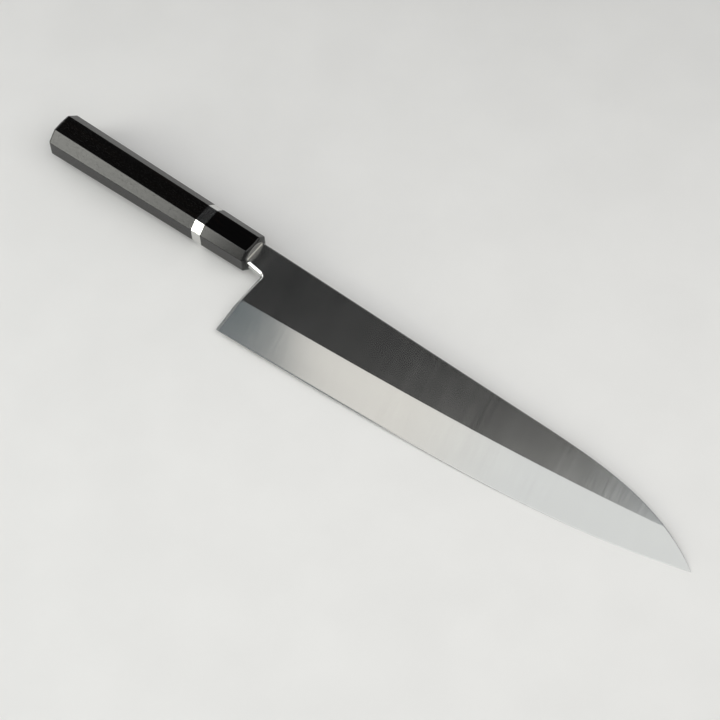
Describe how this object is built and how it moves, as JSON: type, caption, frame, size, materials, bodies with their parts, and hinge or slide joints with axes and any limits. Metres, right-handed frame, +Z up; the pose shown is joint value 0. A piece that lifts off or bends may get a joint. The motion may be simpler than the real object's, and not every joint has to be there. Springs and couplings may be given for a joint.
{
  "type": "kitchen knife",
  "caption": "Long single-bevel kitchen knife: blade with ridge, wide bevel, hollowed back and polished choil, on a tang in an octagonal wooden handle with horn ferrule and metal ring.",
  "frame": {"origin": "middle of the bounding box's underside, on the surface that the knife lies on", "axes": "+X along the knife from handle to tip, +Y from cutting edge towards spine, +Z up from the surface, out of the bevelled face"},
  "size_m": [0.4602, 0.0638, 0.0243],
  "materials": {
    "ground_steel": "satin",
    "pale_resin": "satin",
    "black_horn": "gloss",
    "nickel_silver": "polished",
    "pale_wood": "matte",
    "ebony": "satin"
  },
  "bodies": {
    "root": {"blade": "ground_steel", "tang_seal": "pale_resin", "ferrule": "black_horn", "spacer_ring": "nickel_silver", "core_dowel": "pale_wood", "handle_body": "ebony"}
  },
  "joints": []
}
